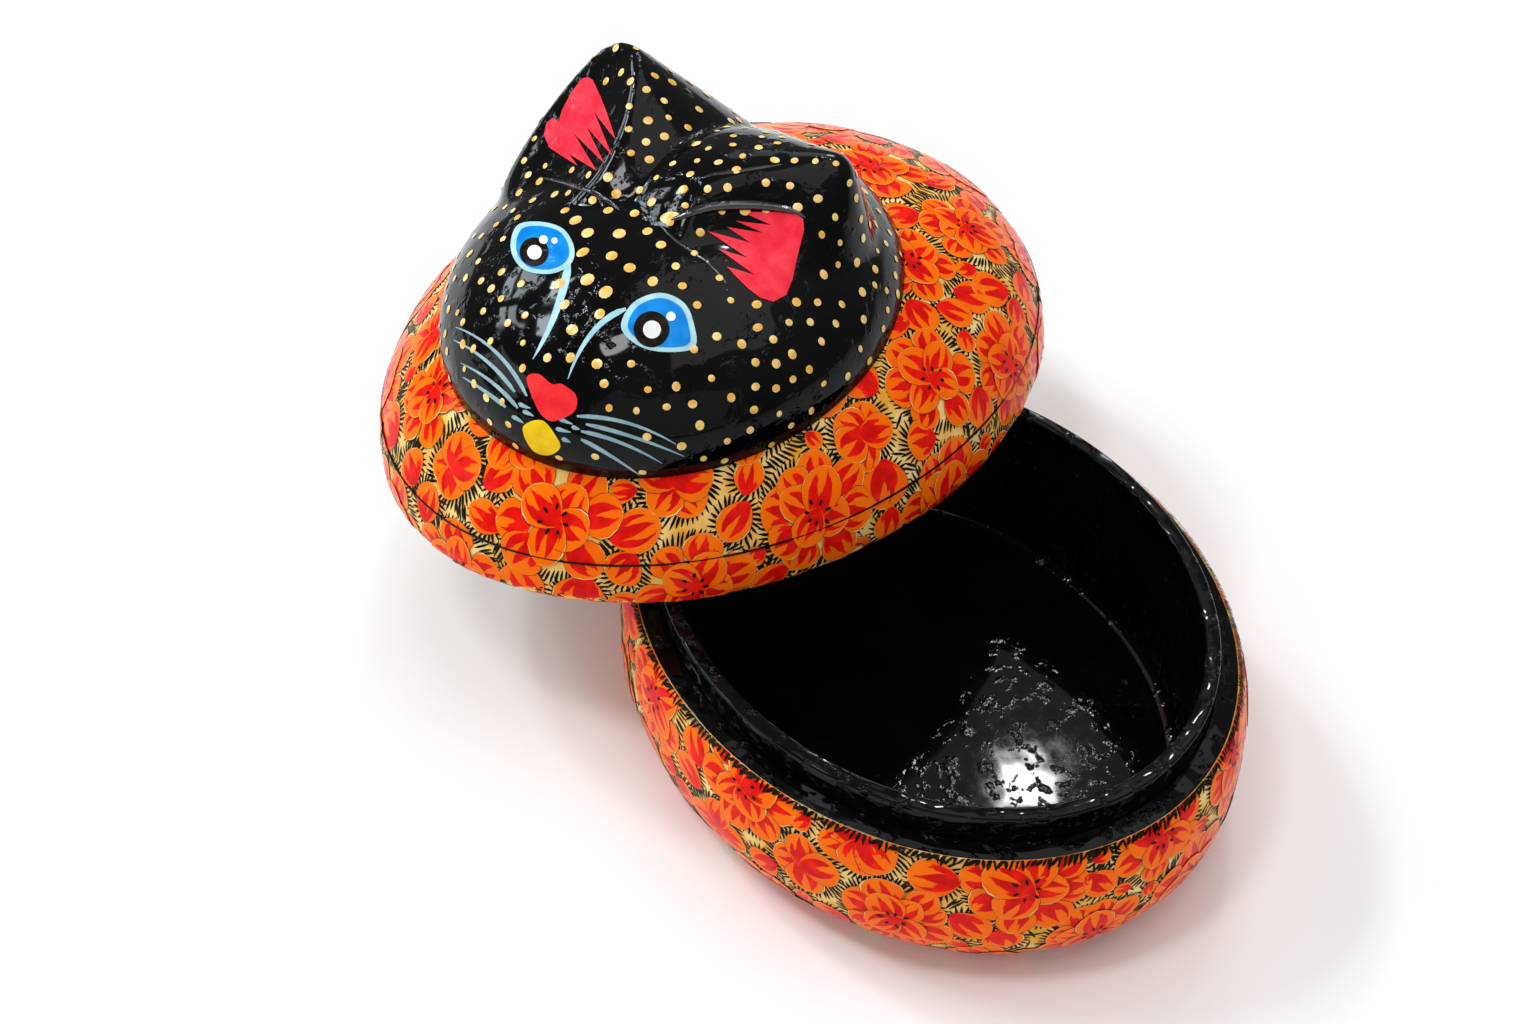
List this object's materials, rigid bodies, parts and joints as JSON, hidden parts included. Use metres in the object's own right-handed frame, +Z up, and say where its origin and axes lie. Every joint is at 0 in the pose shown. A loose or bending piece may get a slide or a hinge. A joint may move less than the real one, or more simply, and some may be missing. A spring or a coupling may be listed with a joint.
{
  "type": "papier mache trinket box",
  "caption": "Oval papier mache trinket box, black lacquer inside, flowers outside, with its lid lifted off: a dome that carries a painted cat's head.",
  "frame": {"origin": "centre of the flat underside that the base stands on", "axes": "+X along the base's long axis, away from the laid-off lid; +Y along its short axis; +Z up"},
  "size_m": [0.2407, 0.1762, 0.1181],
  "materials": {
    "flowered_lacquer": "gloss",
    "black_lacquer": "gloss"
  },
  "bodies": {
    "base": {"base_bowl": "flowered_lacquer", "base_collar": "black_lacquer", "floor_board": "black_lacquer"},
    "lid": {"lid_rim_band": "flowered_lacquer", "lid_dome": "flowered_lacquer", "cat_head": "black_lacquer", "left_ear": "black_lacquer", "right_ear": "black_lacquer"}
  },
  "joints": [
    {"name": "lid_lift", "type": "slide", "parent": "base", "child": "lid", "axis": [0, 0, 1], "range_m": [0, 0.12]}
  ]
}
